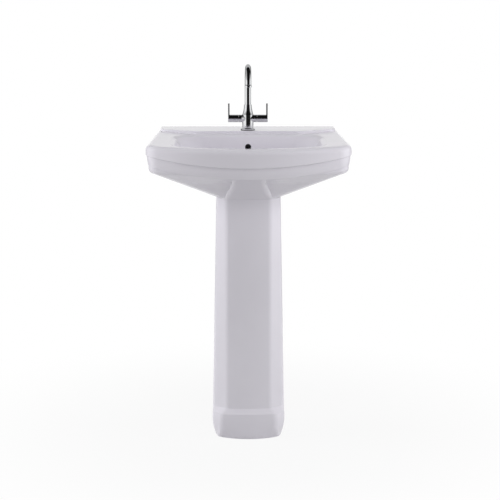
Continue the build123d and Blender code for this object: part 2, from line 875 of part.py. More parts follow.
with BuildPart() as spout:
    with BuildLine() as spout_path:
        column = Line((0, tap_y, collar_z), (0, tap_y, bend_z))
        ThreePointArc(
            column @ 1,
            (0, tap_y - spout_bend_radius, bend_z + spout_bend_radius),
            (0, outlet_y, bend_z),
        )
    with BuildSketch(tap_level(collar_z)):
        Circle(spout_radius)
    sweep(path=spout_path.line)
    with BuildSketch(tap_level(collar_z)):
        Circle(tap_neck_radius)
    extrude(amount=spout_collar)
    collar_top = spout.faces().filter_by(Axis.Z).sort_by(Axis.Z)[-1]
    fillet(collar_top.edges().filter_by(GeomType.CIRCLE), spout_collar_round)
    with BuildSketch(tap_level(collar_z)):
        Circle(spigot_radius)
    extrude(amount=-(spigot_length + spout_gap))
    with BuildSketch(tap_level(collar_z)):
        Circle(spout_bore_radius)
    sweep(path=spout_path.line, mode=Mode.SUBTRACT)
    with BuildSketch(tap_level(collar_z)):
        Circle(spigot_bore_radius)
    extrude(amount=-(spigot_length + spout_gap), mode=Mode.SUBTRACT)
    for z in spout_oring_levels:
        with BuildSketch(tap_level(z)):
            Circle(spigot_radius)
            Circle(spigot_radius - oring_section, mode=Mode.SUBTRACT)
        extrude(amount=oring_section, mode=Mode.SUBTRACT)
    with BuildSketch(tap_level(stop_screw_z)):
        Circle(spigot_radius)
        Circle(spigot_radius - stop_groove_depth, mode=Mode.SUBTRACT)
        with Locations((0, spigot_radius - stop_slack)):
            Rectangle(2 * spigot_radius, 2 * spigot_radius, mode=Mode.INTERSECT)
    extrude(amount=stop_tip_radius + loose_fit, both=True, mode=Mode.SUBTRACT)

with BuildPart() as spout_orings:
    for z in spout_oring_levels:
        with BuildSketch(tap_level(z)):
            Circle(spigot_radius)
            Circle(spigot_radius - oring_section, mode=Mode.SUBTRACT)
        extrude(amount=oring_section)

with BuildPart() as spout_stop_screw:
    with BuildSketch(Plane((0, tap_y + spigot_radius + loose_fit, stop_screw_z), z_dir=(0, 1, 0))):
        Circle(stop_screw_radius)
    extrude(amount=stop_screw_length)
    with BuildSketch(Plane((0, tap_y + spigot_radius - stop_tip, stop_screw_z), z_dir=(0, 1, 0))):
        Circle(stop_tip_radius)
    extrude(amount=stop_tip + loose_fit)
    with BuildSketch(Plane(spout_stop_screw.faces().sort_by(Axis.Y)[-1])):
        RegularPolygon(stop_screw_radius / 2, 6)
    extrude(amount=-stop_screw_length / 2, mode=Mode.SUBTRACT)

# Spout outlet: housing, washer and flow straightener
outlet_level = Plane((0, outlet_y, bend_z))
washer_level = outlet_level.offset(-aerator_washer_thickness)
aerator_washer = ring(washer_level, spout_radius, spout_bore_radius, aerator_washer_thickness)

with BuildPart() as aerator_housing:
    with BuildSketch(washer_level):
        Circle(aerator_radius)
    extrude(amount=-aerator_height)
    fillet(aerator_housing.edges().filter_by(GeomType.CIRCLE), aerator_round)
    with BuildSketch(washer_level):
        Circle(spout_bore_radius - loose_fit)
    extrude(amount=aerator_thread)
    with BuildSketch(washer_level.offset(-aerator_height)):
        Circle(aerator_bore_radius)
    extrude(amount=aerator_height + aerator_thread, mode=Mode.SUBTRACT)

with BuildPart() as aerator_insert:
    with BuildSketch(washer_level.offset(aerator_round - aerator_height)):
        Circle(aerator_bore_radius - snug_fit)
        with PolarLocations(aerator_inner_ring, aerator_inner_holes):
            Circle(aerator_hole_radius, mode=Mode.SUBTRACT)
        with PolarLocations(aerator_outer_ring, aerator_outer_holes):
            Circle(aerator_hole_radius, mode=Mode.SUBTRACT)
    extrude(amount=aerator_height)

tap_parts = {
    "tap_body": tap_body,
    "tap_base_gasket": tap_base_gasket,
    "fixing_stud": fixing_stud,
    "horseshoe_gasket": horseshoe_gasket,
    "horseshoe_plate": horseshoe_plate,
    "fixing_nut": fixing_nut,
    "spout": spout,
    "spout_orings": spout_orings,
    "spout_stop_screw": spout_stop_screw,
    "aerator_housing": aerator_housing,
    "aerator_washer": aerator_washer,
    "aerator_insert": aerator_insert,
}

# Waste: flanged body clamped through the bowl floor
flange_z = bowl_floor_z - waste_recess_depth + waste_gasket
flange_top_z = flange_z + waste_flange
tail_end_z = flange_z - waste_tail_length
hub_z = tail_end_z + spider_rise


def waste_level(z):
    """Level plane on the waste's axis."""
    return Plane((0, waste_y, z))


backnut_top_z = waste_seat_z - waste_lower_gasket
gasket_bore_radius = waste_tail_radius + snug_fit
waste_top_gasket = ring(
    waste_level(flange_z - waste_gasket), waste_flange_radius, gasket_bore_radius, waste_gasket
)
waste_bottom_gasket = ring(
    waste_level(backnut_top_z), waste_flange_radius, gasket_bore_radius, waste_lower_gasket
)

with BuildPart() as waste_body:
    with BuildSketch(waste_level(flange_z)):
        Circle(waste_flange_radius)
    extrude(amount=waste_flange)
    fillet(waste_body.faces().sort_by(Axis.Z)[-1].edges(), waste_flange / 2)
    with BuildSketch(waste_level(flange_z)):
        Circle(waste_tail_radius)
    extrude(amount=-waste_tail_length)
    with BuildSketch(waste_level(flange_top_z)):
        Circle(waste_bore_radius)
    extrude(amount=-(waste_tail_length + waste_flange), mode=Mode.SUBTRACT)
    with BuildSketch(waste_level(hub_z)):
        Circle(spider_hub_radius)
        Rectangle(waste_bore_radius + waste_tail_radius, spider_bar)
    extrude(amount=spider_height)
    with BuildSketch(waste_level(hub_z)):
        Circle(stem_radius + running_fit)
    extrude(amount=spider_height, mode=Mode.SUBTRACT)
    with Locations((0, waste_y, overflow_path[-1][1])):
        Box(4 * waste_tail_radius, waste_slot_width, overflow_channel, mode=Mode.SUBTRACT)
        Box(waste_slot_width, 4 * waste_tail_radius, overflow_channel, mode=Mode.SUBTRACT)

with BuildPart() as waste_backnut:
    with BuildSketch(waste_level(backnut_top_z)):
        RegularPolygon(waste_flange_radius, 6)
        Circle(waste_tail_radius, mode=Mode.SUBTRACT)
    extrude(amount=-waste_nut_height)
    with BuildSketch(waste_level(backnut_top_z)):
        Circle(waste_flange_radius)
    extrude(amount=-waste_nut_height, mode=Mode.INTERSECT)

# Plug: shown raised, pressed down by its travel to shut
seal_z = flange_top_z + plug_shut_gap + plug_travel
cap_z = seal_z + plug_seal_thickness
plug_seal = ring(waste_level(seal_z), plug_seal_radius, stem_radius, plug_seal_thickness)

with BuildPart() as plug_cap:
    with BuildSketch(waste_level(cap_z)):
        Circle(plug_radius)
    extrude(amount=plug_thickness)
    fillet(plug_cap.faces().sort_by(Axis.Z)[-1].edges(), plug_thickness / 2)
    with BuildSketch(waste_level(cap_z)):
        Circle(stem_radius)
    extrude(amount=plug_thickness / 2, mode=Mode.SUBTRACT)

with BuildPart() as plug_stem:
    with BuildSketch(waste_level(cap_z + plug_thickness / 2)):
        Circle(stem_radius)
    extrude(amount=-(cap_z + plug_thickness / 2 - hub_z))
    with BuildSketch(waste_level(hub_z)):
        Circle(stem_radius)
    extrude(amount=-loose_fit)
    with BuildSketch(waste_level(hub_z - loose_fit)):
        Circle(spider_hub_radius - loose_fit)
    extrude(amount=-stem_collar)

# Bottle trap inside the pedestal
dip_top_z = tail_end_z - trap_washer
trap_top_z = dip_top_z - trap_flange - trap_drop
trap_base_z = trap_top_z - trap_height
outlet_z = trap_base_z + trap_outlet_rise
cup_floor_z = trap_base_z - cup_height
stub_end_y = waste_y + trap_stub_reach

trap_inlet_washer = ring(waste_level(dip_top_z), waste_tail_radius, pipe_bore_radius, trap_washer)


def pipe_plane(y):
    """Plane across the outlet pipe, facing the wall."""
    return Plane((0, y, outlet_z), x_dir=(1, 0, 0), z_dir=(0, 1, 0))


def union_nut(plane, thread_radius, lip_radius, body_length):
    """Eight-sided union nut; its lip is at the far end of the plane's direction."""
    with BuildPart() as piece:
        with BuildSketch(plane):
            RegularPolygon(thread_radius + union_nut_wall, 8)
            Circle(thread_radius, mode=Mode.SUBTRACT)
        extrude(amount=body_length)
        with BuildSketch(plane.offset(body_length)):
            RegularPolygon(thread_radius + union_nut_wall, 8)
            Circle(lip_radius, mode=Mode.SUBTRACT)
        extrude(amount=trap_flange)
    return piece


trap_inlet_nut = union_nut(
    Plane((0, waste_y, tail_end_z + union_nut_grip), z_dir=(0, 0, -1)),
    waste_tail_radius,
    pipe_radius + snug_fit,
    union_nut_grip + trap_washer + trap_flange,
)
trap_outlet_nut = union_nut(
    pipe_plane(stub_end_y - union_nut_grip),
    stub_radius,
    pipe_radius + snug_fit,
    union_nut_grip + trap_washer,
)
trap_outlet_washer = ring(pipe_plane(stub_end_y), stub_radius, pipe_radius - pipe_turned, trap_washer)
pipe_shoulder_y = stub_end_y + trap_washer + trap_flange + pipe_shoulder

with BuildPart() as trap_outlet_pipe:
    with BuildSketch(pipe_plane(stub_end_y - pipe_socket)):
        Circle(pipe_radius - pipe_turned)
    extrude(amount=pipe_shoulder_y - stub_end_y + pipe_socket)
    with BuildSketch(pipe_plane(pipe_shoulder_y)):
        Circle(pipe_radius)
    extrude(amount=y_wall - pipe_shoulder_y)
    with BuildSketch(pipe_plane(y_wall)):
        Circle(pipe_bore_radius)
    extrude(amount=-basin_depth, mode=Mode.SUBTRACT)

with BuildPart() as trap_dip_tube:
    with BuildSketch(waste_level(dip_top_z)):
        Circle(waste_tail_radius - snug_fit)
    extrude(amount=-trap_flange)
    with BuildSketch(waste_level(dip_top_z)):
        Circle(pipe_radius)
    extrude(amount=-dip_length)
    with BuildSketch(waste_level(dip_top_z)):
        Circle(pipe_bore_radius)
    extrude(amount=-dip_length, mode=Mode.SUBTRACT)

with BuildPart() as trap_body:
    with BuildSketch(waste_level(trap_top_z)):
        Circle(trap_radius)
    extrude(amount=-trap_height)
    fillet(trap_body.faces().sort_by(Axis.Z)[-1].edges(), trap_wall)
    with BuildSketch(pipe_plane(waste_y)):
        Circle(stub_radius)
    extrude(amount=trap_stub_reach)
    with BuildSketch(waste_level(trap_top_z - trap_wall)):
        Circle(trap_radius - trap_wall)
    extrude(amount=-trap_height, mode=Mode.SUBTRACT)
    with BuildSketch(waste_level(trap_top_z)):
        Circle(pipe_radius + snug_fit)
    extrude(amount=-trap_height, mode=Mode.SUBTRACT)
    with BuildSketch(pipe_plane(waste_y)):
        Circle(pipe_bore_radius)
    extrude(amount=trap_stub_reach, mode=Mode.SUBTRACT)
    with BuildSketch(pipe_plane(stub_end_y - pipe_socket)):
        Circle(pipe_radius + snug_fit)
    extrude(amount=pipe_socket, mode=Mode.SUBTRACT)

seal_foot = waste_level(trap_base_z - trap_washer)
trap_cup_seal = ring(seal_foot, trap_radius, trap_radius - trap_wall, trap_washer)

with BuildPart() as trap_cup:
    with BuildSketch(waste_level(cup_floor_z)):
        Circle(trap_radius + trap_wall)
        with PolarLocations(trap_radius + trap_wall, cup_grips):
            Circle(cup_grip_radius)
    extrude(amount=cup_height + union_nut_grip)
    fillet(trap_cup.faces().sort_by(Axis.Z)[0].edges().filter_by(GeomType.CIRCLE), cup_round)
    with BuildSketch(seal_foot):
        Circle(trap_radius + snug_fit)
    extrude(amount=cup_height, mode=Mode.SUBTRACT)
    with BuildSketch(waste_level(cup_floor_z + trap_wall)):
        Circle(trap_radius - trap_wall)
    extrude(amount=cup_height, mode=Mode.SUBTRACT)

waste_parts = {
    "waste_body": waste_body,
    "waste_top_gasket": waste_top_gasket,
    "waste_bottom_gasket": waste_bottom_gasket,
    "waste_backnut": waste_backnut,
    "plug_cap": plug_cap,
    "plug_seal": plug_seal,
    "plug_stem": plug_stem,
    "trap_inlet_nut": trap_inlet_nut,
    "trap_inlet_washer": trap_inlet_washer,
    "trap_dip_tube": trap_dip_tube,
    "trap_body": trap_body,
    "trap_cup": trap_cup,
    "trap_cup_seal": trap_cup_seal,
    "trap_outlet_nut": trap_outlet_nut,
    "trap_outlet_washer": trap_outlet_washer,
    "trap_outlet_pipe": trap_outlet_pipe,
}

all_parts = {"basin": basin, "pedestal": pedestal, **tap_parts, **valve_parts, **waste_parts}
for name, piece in all_parts.items():
    piece.part.label = name
    export_step(piece.part, "parts/" + name + ".step")
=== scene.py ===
"""Looks of the pedestal wash basin: finishes, two reshaped skins, studio light, floor and camera.

Metres, watts and degrees, in the model's own frame: +X to the user's right, +Y towards the wall,
+Z up from the floor.
"""

import json
import math

import bpy
import numpy as np
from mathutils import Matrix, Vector


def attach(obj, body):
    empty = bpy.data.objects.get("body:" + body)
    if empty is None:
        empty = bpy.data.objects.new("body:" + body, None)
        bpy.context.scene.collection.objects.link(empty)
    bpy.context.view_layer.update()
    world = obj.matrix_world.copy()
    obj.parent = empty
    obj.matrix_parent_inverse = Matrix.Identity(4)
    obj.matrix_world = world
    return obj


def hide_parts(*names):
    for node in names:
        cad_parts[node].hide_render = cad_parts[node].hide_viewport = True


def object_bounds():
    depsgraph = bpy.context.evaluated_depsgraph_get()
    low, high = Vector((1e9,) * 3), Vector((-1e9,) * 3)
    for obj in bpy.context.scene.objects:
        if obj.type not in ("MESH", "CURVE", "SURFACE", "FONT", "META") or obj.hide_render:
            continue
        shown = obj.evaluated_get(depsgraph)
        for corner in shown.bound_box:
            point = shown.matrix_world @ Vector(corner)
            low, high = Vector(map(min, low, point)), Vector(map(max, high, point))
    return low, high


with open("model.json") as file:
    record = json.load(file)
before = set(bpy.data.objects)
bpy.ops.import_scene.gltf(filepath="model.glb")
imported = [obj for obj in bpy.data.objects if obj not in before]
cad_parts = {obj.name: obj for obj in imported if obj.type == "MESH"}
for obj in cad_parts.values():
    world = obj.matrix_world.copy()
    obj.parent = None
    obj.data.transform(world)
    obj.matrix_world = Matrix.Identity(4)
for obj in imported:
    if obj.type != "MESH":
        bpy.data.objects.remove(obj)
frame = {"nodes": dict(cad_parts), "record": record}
cad_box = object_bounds()
nodes_by_name = frame["nodes"]
scene = bpy.context.scene

# Camera, as the photograph was taken
CAMERA_PLACE = (-0.04, -4.315, 1.3271)
CAMERA_PITCH = 10.14
CAMERA_TURN = -0.6
CAMERA_LENS = 104.67
CAMERA_SENSOR = 36.0

# Part of a noise's range that a finish uses from end to end
NOISE_ENDS = (0.3, 0.7)

# Colour sockets of the mix node, whose names repeat for each kind of value
MIX_FIRST = 6
MIX_SECOND = 7
MIX_RESULT = 2

# Bore of the overflow, painted near-black inside as shade
OVERFLOW_PLACE = (0.0, 0.077, 0.861)
OVERFLOW_RADII = (0.0090, 0.0094)
OVERFLOW_REACH = (0.0235, 0.0250)
OVERFLOW_PAINTED_SHADE = (0.05, 0.048, 0.05)

# Bowl of the solid basin: its mouth, the insets of its floor, its levels and the curve of its wall
BOWL_HALF = 0.223
BOWL_FRONT = -0.212
BOWL_BACK = 0.069
BOWL_BOW = 0.046
BOWL_CORNER = 0.074
BOWL_FLOOR_CORNER = 0.0365
BOWL_FRONT_CORNER_SHARE = 0.5
BOWL_SIDE_INSET = 0.165
BOWL_FRONT_INSET = 0.128
BOWL_BACK_INSET = 0.048
BOWL_CURVE = 2.2
BOWL_FLOOR_Z = 0.751
RIM_Z = 0.884
DECK_RISE = 0.020
LIP_REACH = (0.0100, 0.0135)

# Flare of the bowl under its lip, inwards from the steeper wall of the solid
FLARE_SIDE = 0.029
FLARE_SIDE_AT_FRONT = 0.010
FLARE_SIDE_GROWTH = (0.0, 0.55)
FLARE_FRONT = 0.006
FLARE_BACK = 0.016
FLARE_POWER = 0.75

# Foot of the plinth, broader than the solid's and bowed along the floor
PLINTH_TOP = 0.076
FOOT_POWER = 3.4
FOOT_SPREAD = 0.008
FOOT_SIDE = (0.070, 0.085)
FOOT_FRONT = (-0.03, -0.09)
FOOT_PUSH = 0.008
FOOT_BOW = 0.022
FOOT_HALF = 0.098

# Trial step that turns a normal with its surface, and the rise past which a normal counts as upright
NORMAL_STEP = 0.00001
UPRIGHT = 0.9

# Studio light: an even surround and soft lamps at the sides, in front and behind
SURROUND = 0.375
LAMP_AIM = (0.0, 0.0, 0.8)
LAMPS = {
    "left_lamp": ((-2.2, 0.05, 1.2), (1.2, 1.7), 28.0),
    "right_lamp": ((2.2, -0.3, 1.2), (1.2, 1.7), 20.0),
    "front_lamp": ((1.0, -2.4, 2.3), (1.8, 1.4), 17.0),
    "back_lamp": ((0.0, 2.6, 0.7), (1.8, 1.2), 15.0),
}

# Studio as mirrors see it: a dark card on the camera's side, two flags at the back and a grey ceiling
CARD = 0.012
CARD_SIDE = (0.64, 0.8)
CARD_SHIFT = 0.1
CARD_BACK = (0.42, 0.52)
FLAG = 0.12
FLAG_FRONT = (0.42, 0.55)
FLAG_SIDE = (0.3, 0.4)
FLAG_TOP = (0.3, 0.4)
CEILING = 0.5
CEILING_RISE = (0.25, 0.4)

# Floor: a pale disc that turns white towards its rim
FLOOR_SIZE = 3.2
FLOOR_CORNERS = 96
FLOOR_ALBEDO = 0.62
FLOOR_WHITE_NEAR = 0.9
FLOOR_FADE = (0.25, 1.2)


def empty_tree(owner):
    """The cleared node tree of a material or a world."""
    owner.use_nodes = True
    owner.node_tree.nodes.clear()
    return owner.node_tree


def show(tree, output_kind, surface):
    """Ends a node tree with the surface that it shows."""
    output = tree.nodes.new(output_kind)
    tree.links.new(surface, output.inputs["Surface"])


def put(tree, value, socket):
    """Sets a socket to a number, or links another socket to it."""
    if isinstance(value, (int, float)):
        socket.default_value = value
    else:
        tree.links.new(value, socket)


def maths(tree, operation, first, second=0.0):
    """One maths node on two numbers or sockets."""
    node = tree.nodes.new("ShaderNodeMath")
    node.operation = operation
    put(tree, first, node.inputs[0])
    put(tree, second, node.inputs[1])
    return node.outputs[0]


def vector_maths(tree, operation, vector, constant=(0.0, 0.0, 0.0)):
    """The outputs of one maths node on a vector socket and a fixed vector."""
    node = tree.nodes.new("ShaderNodeVectorMath")
    node.operation = operation
    node.inputs[1].default_value = constant
    tree.links.new(vector, node.inputs[0])
    return node.outputs


def axes(tree, vector):
    """The three numbers of a vector."""
    split = tree.nodes.new("ShaderNodeSeparateXYZ")
    tree.links.new(vector, split.inputs["Vector"])
    return split.outputs


def spread(tree, value, source, target, ends="SMOOTHSTEP"):
    """Maps a number from one range to another, by default with smooth ends."""
    step = tree.nodes.new("ShaderNodeMapRange")
    step.interpolation_type = ends
    step.inputs["From Min"].default_value = source[0]
    step.inputs["From Max"].default_value = source[1]
    step.inputs["To Min"].default_value = target[0]
    step.inputs["To Max"].default_value = target[1]
    tree.links.new(value, step.inputs["Value"])
    return step.outputs["Result"]


def new_material(name):
    """A material with its shader wired to the output."""
    material = bpy.data.materials.new(name)
    tree = empty_tree(material)
    shader = tree.nodes.new("ShaderNodeBsdfPrincipled")
    show(tree, "ShaderNodeOutputMaterial", shader.outputs["BSDF"])
    return material, tree, shader


def object_noise(tree, scale, detail, stretch=(1.0, 1.0, 1.0)):
    """Noise fixed to the object, with features about 1 / scale metres across."""
    place = tree.nodes.new("ShaderNodeTexCoord")
    mapping = tree.nodes.new("ShaderNodeMapping")
    noise = tree.nodes.new("ShaderNodeTexNoise")
    mapping.inputs["Scale"].default_value = stretch
    noise.inputs["Scale"].default_value = scale
    noise.inputs["Detail"].default_value = detail
    tree.links.new(place.outputs["Object"], mapping.inputs["Vector"])
    tree.links.new(mapping.outputs["Vector"], noise.inputs["Vector"])
    return noise.outputs["Fac"]


def vary_number(tree, factor, low, high, socket):
    """Drives a number socket between two values by a noise."""
    tree.links.new(spread(tree, factor, NOISE_ENDS, (low, high), ends="LINEAR"), socket)


def vary_colour(tree, factor, low, high, socket):
    """Drives a colour socket between two colours by a noise."""
    ramp = tree.nodes.new("ShaderNodeValToRGB")
    for element, place, colour in zip(ramp.color_ramp.elements, NOISE_ENDS, (low, high)):
        element.position = place
        element.color = (*colour, 1.0)
    tree.links.new(factor, ramp.inputs["Fac"])
    tree.links.new(ramp.outputs["Color"], socket)


def add_bumps(tree, shader, bumps):
    """Stacks bumps, each a noise output with its height in metres."""
    normal = None
    for factor, height in bumps:
        bump = tree.nodes.new("ShaderNodeBump")
        bump.inputs["Strength"].default_value = 1.0
        bump.inputs["Distance"].default_value = height
        tree.links.new(factor, bump.inputs["Height"])
        if normal is not None:
            tree.links.new(normal, bump.inputs["Normal"])
        normal = bump.outputs["Normal"]
    tree.links.new(normal, shader.inputs["Normal"])


def overflow_shade_mask(tree):
    """1 in the bore of the overflow behind the bowl's back wall, where shade is painted, 0 everywhere
    else.
    """
    place = tree.nodes.new("ShaderNodeTexCoord")
    centred = vector_maths(tree, "SUBTRACT", place.outputs["Object"], OVERFLOW_PLACE)["Vector"]
    level = vector_maths(tree, "MULTIPLY", centred, (1.0, 0.0, 1.0))["Vector"]
    radius = vector_maths(tree, "LENGTH", level)["Value"]
    along = maths(tree, "ABSOLUTE", axes(tree, centred)["Y"])
    in_bore = spread(tree, radius, OVERFLOW_RADII, (1.0, 0.0))
    in_wall = spread(tree, along, OVERFLOW_REACH, (1.0, 0.0))
    return maths(tree, "MULTIPLY", in_bore, in_wall)


def glaze_material():
    """White vitreous china: faint pooling of the glaze, slow waves, a few fine specks and painted shade
    in the overflow's bore.
    """
    material, tree, shader = new_material("glaze")
    pooling = object_noise(tree, scale=9.0, detail=3.0)
    waves = object_noise(tree, scale=34.0, detail=1.0)
    specks = object_noise(tree, scale=900.0, detail=2.0)
    mix = tree.nodes.new("ShaderNodeMix")
    mix.data_type = "RGBA"
    glazed = mix.inputs[MIX_FIRST]
    vary_colour(tree, pooling, (0.862, 0.838, 0.905), (0.882, 0.858, 0.925), glazed)
    # Painted shade: near-black in the overflow's bore, mixed over the glaze colour by the mask
    mix.inputs[MIX_SECOND].default_value = (*OVERFLOW_PAINTED_SHADE, 1.0)
    tree.links.new(overflow_shade_mask(tree), mix.inputs["Factor"])
    tree.links.new(mix.outputs[MIX_RESULT], shader.inputs["Base Color"])
    vary_number(tree, pooling, 0.1, 0.18, shader.inputs["Roughness"])
    shader.inputs["IOR"].default_value = 1.5
    shader.inputs["Specular IOR Level"].default_value = 0.26
    add_bumps(tree, shader, [(waves, 0.0001), (specks, 0.000004)])
    return material


def chrome_material():
    """Polished plate: fine polishing lines and a trace of dried water."""
    material, tree, shader = new_material("chrome")
    lines = object_noise(tree, scale=1400.0, detail=1.0, stretch=(1.0, 1.0, 0.06))
    marks = object_noise(tree, scale=120.0, detail=4.0)
    vary_colour(tree, marks, (0.77, 0.78, 0.79), (0.82, 0.825, 0.835), shader.inputs["Base Color"])
    vary_number(tree, marks, 0.03, 0.085, shader.inputs["Roughness"])
    shader.inputs["Metallic"].default_value = 1.0
    add_bumps(tree, shader, [(lines, 0.0000006)])
    return material


def rubber_material():
    """Moulded black rubber with a dusty grain."""
    material, tree, shader = new_material("seal_rubber")
    dust = object_noise(tree, scale=260.0, detail=5.0)
    grain = object_noise(tree, scale=1800.0, detail=2.0)
    vary_colour(tree, dust, (0.035, 0.035, 0.038), (0.075, 0.075, 0.08), shader.inputs["Base Color"])
    vary_number(tree, dust, 0.55, 0.8, shader.inputs["Roughness"])
    add_bumps(tree, shader, [(grain, 0.00002)])
    return material


def steel_material():
    """Turned stainless steel with lathe lines round the part."""
    material, tree, shader = new_material("steel")
    lines = object_noise(tree, scale=1500.0, detail=1.0, stretch=(0.2, 0.2, 1.0))
    stain = object_noise(tree, scale=150.0, detail=3.0)
    vary_colour(tree, stain, (0.50, 0.51, 0.52), (0.60, 0.61, 0.62), shader.inputs["Base Color"])
    vary_number(tree, lines, 0.22, 0.4, shader.inputs["Roughness"])
    shader.inputs["Metallic"].default_value = 1.0
    add_bumps(tree, shader, [(lines, 0.000006)])
    return material


def brass_material():
    """Machined brass, dulled in patches."""
    material, tree, shader = new_material("brass")
    dull = object_noise(tree, scale=110.0, detail=4.0)
    lines = object_noise(tree, scale=1300.0, detail=1.0, stretch=(0.2, 0.2, 1.0))
    vary_colour(tree, dull, (0.60, 0.43, 0.19), (0.78, 0.61, 0.32), shader.inputs["Base Color"])
    vary_number(tree, dull, 0.2, 0.42, shader.inputs["Roughness"])
    shader.inputs["Metallic"].default_value = 1.0
    add_bumps(tree, shader, [(lines, 0.000006)])
    return material


def disc_material():
    """Lapped alumina: off-white and nearly even."""
    material, tree, shader = new_material("disc_ceramic")
    cloud = object_noise(tree, scale=300.0, detail=3.0)
    vary_colour(tree, cloud, (0.82, 0.81, 0.78), (0.88, 0.87, 0.85), shader.inputs["Base Color"])
    vary_number(tree, cloud, 0.25, 0.35, shader.inputs["Roughness"])
    add_bumps(tree, shader, [(cloud, 0.000002)])
    return material


def white_plastic_material():
    """Moulded white polypropylene with a slight orange peel."""
    material, tree, shader = new_material("white_plastic")
    cloud = object_noise(tree, scale=60.0, detail=3.0)
    peel = object_noise(tree, scale=700.0, detail=1.0)
    vary_colour(tree, cloud, (0.80, 0.80, 0.775), (0.85, 0.85, 0.835), shader.inputs["Base Color"])
    vary_number(tree, cloud, 0.28, 0.4, shader.inputs["Roughness"])
    shader.inputs["Subsurface Weight"].default_value = 0.08
    shader.inputs["Subsurface Scale"].default_value = 0.002
    add_bumps(tree, shader, [(peel, 0.00002)])
    return material


def grey_plastic_material():
    """Matt grey moulding with a sparked grain."""
    material, tree, shader = new_material("grey_plastic")
    grain = object_noise(tree, scale=2400.0, detail=3.0)
    vary_colour(tree, grain, (0.30, 0.31, 0.32), (0.38, 0.39, 0.40), shader.inputs["Base Color"])
    vary_number(tree, grain, 0.45, 0.6, shader.inputs["Roughness"])
    add_bumps(tree, shader, [(grain, 0.00002)])
    return material


def finish_nodes():
    """Gives every solid the finish of its material slot."""
    finishes = {
        "glaze": glaze_material(),
        "chrome": chrome_material(),
        "seal_rubber": rubber_material(),
        "steel": steel_material(),
        "brass": brass_material(),
        "disc_ceramic": disc_material(),
        "white_plastic": white_plastic_material(),
        "grey_plastic": grey_plastic_material(),
    }
    for subpart in frame["record"]["subparts"]:
        node = nodes_by_name[subpart["node"]]
        node.data.materials.clear()
        node.data.materials.append(finishes[subpart["material_slot"]])


def smooth(value, ends):
    """0 before the first end, 1 past the second, and an even S between them."""
    share = np.clip((value - ends[0]) / (ends[1] - ends[0]), 0, 1)
    return share * share * (3 - 2 * share)


def bowl_edges(slope):
    """Half width, front and back of the solid's bowl, at a share of the insets of its floor."""
    half = BOWL_HALF - BOWL_SIDE_INSET * slope
    front = BOWL_FRONT + BOWL_FRONT_INSET * slope
    back = BOWL_BACK - BOWL_BACK_INSET * slope
    return half, front, back


def outside_bowl(x, y, slope):
    """How far points lie outside the solid's bowl at their own level, less than 0 inside it."""
    half, front, back = bowl_edges(slope)
    corner = BOWL_CORNER + (BOWL_FLOOR_CORNER - BOWL_CORNER) * slope
    corner = np.where(y < (front + back) / 2, corner * BOWL_FRONT_CORNER_SHARE, corner)
    front_edge = front + BOWL_BOW * (1 - slope) * (x / half) ** 2
    past_side = np.abs(x) - half + corner
    past_end = np.maximum(front_edge + corner - y, y - back + corner)
    rounded = np.hypot(np.maximum(past_side, 0), np.maximum(past_end, 0))
    return rounded + np.minimum(np.maximum(past_side, past_end), 0) - corner


def flared_bowl(points):
    """Leans the bowl's wall in under its lip; the mouth, the floor and all else stay where they are."""
    x, y, z = points.T
    share = np.clip((RIM_Z - z) / (RIM_Z - BOWL_FLOOR_Z), 0, 1)
    slope = 1 - (1 - share**BOWL_CURVE) ** (1 / BOWL_CURVE)
    half, front, back = bowl_edges(slope)
    deck = RIM_Z + DECK_RISE * (y - cad_box[0][1]) / (cad_box[1][1] - cad_box[0][1])
    depth = np.clip((deck - z) / (deck - BOWL_FLOOR_Z), 0, 1)
    on_wall = 1 - smooth(outside_bowl(x, y, slope), LIP_REACH)
    lean = on_wall * np.sin(np.pi * depth**FLARE_POWER)
    towards_back = (y - front) / (back - front)
    side_growth = (FLARE_SIDE - FLARE_SIDE_AT_FRONT) * smooth(towards_back, FLARE_SIDE_GROWTH)
    inwards = lean * (FLARE_SIDE_AT_FRONT + side_growth) * x / half
    backwards = lean * (FLARE_FRONT * (1 - towards_back) - FLARE_BACK * towards_back)
    return np.stack((x - inwards, y + backwards, z), axis=1)


def broad_foot(points):
    """Spreads the foot of the plinth sideways and bows its front edge, most at the floor."""
    x, y, z = points.T
    low = np.clip(1 - z / PLINTH_TOP, 0, 1) ** FOOT_POWER
    sideways = np.sign(x) * FOOT_SPREAD * smooth(np.abs(x), FOOT_SIDE)
    forwards = smooth(y, FOOT_FRONT) * (FOOT_PUSH - FOOT_BOW * (x / FOOT_HALF) ** 2)
    return np.stack((x + low * sideways, y - low * forwards, z), axis=1)


def reshaped(node_name, piece_name, move):
    """A copy of a solid's skin, its points moved by a smooth rule and its normals turned with them."""
    mesh = nodes_by_name[node_name].data.copy()
    points = np.empty((len(mesh.vertices), 3), dtype=np.float32)
    corners = np.empty(len(mesh.loops), dtype=np.int32)
    normals = np.empty((len(mesh.loops), 3), dtype=np.float32)
    mesh.vertices.foreach_get("co", points.ravel())
    mesh.loops.foreach_get("vertex_index", corners)
    mesh.corner_normals.foreach_get("vector", normals.ravel())
    points = points.astype(float)
    helper = np.where(np.abs(normals[:, 2:]) < UPRIGHT, (0.0, 0.0, 1.0), (1.0, 0.0, 0.0))
    first = np.cross(normals, helper)
    first /= np.linalg.norm(first, axis=1, keepdims=True)
    second = np.cross(normals, first)
    here = points[corners]
    there = move(here)
    first_moved = move(here + NORMAL_STEP * first) - there
    second_moved = move(here + NORMAL_STEP * second) - there
    turned = np.cross(first_moved, second_moved)
    turned /= np.linalg.norm(turned, axis=1, keepdims=True)
    mesh.vertices.foreach_set("co", move(points).astype(np.float32).ravel())
    mesh.update()
    mesh.normals_split_custom_set(turned.tolist())
    piece = bpy.data.objects.new(piece_name, mesh)
    scene.collection.objects.link(piece)
    return piece


def reshape_ceramics():
    """Sets the flared basin and the broad-footed pedestal in the place of their solids' skins."""
    for node_name, piece_name, move in (
        ("basin", "flared_basin", flared_bowl),
        ("pedestal", "broad_footed_pedestal", broad_foot),
    ):
        piece = reshaped(node_name, piece_name, move)
        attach(piece, "sink")
        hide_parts(node_name)


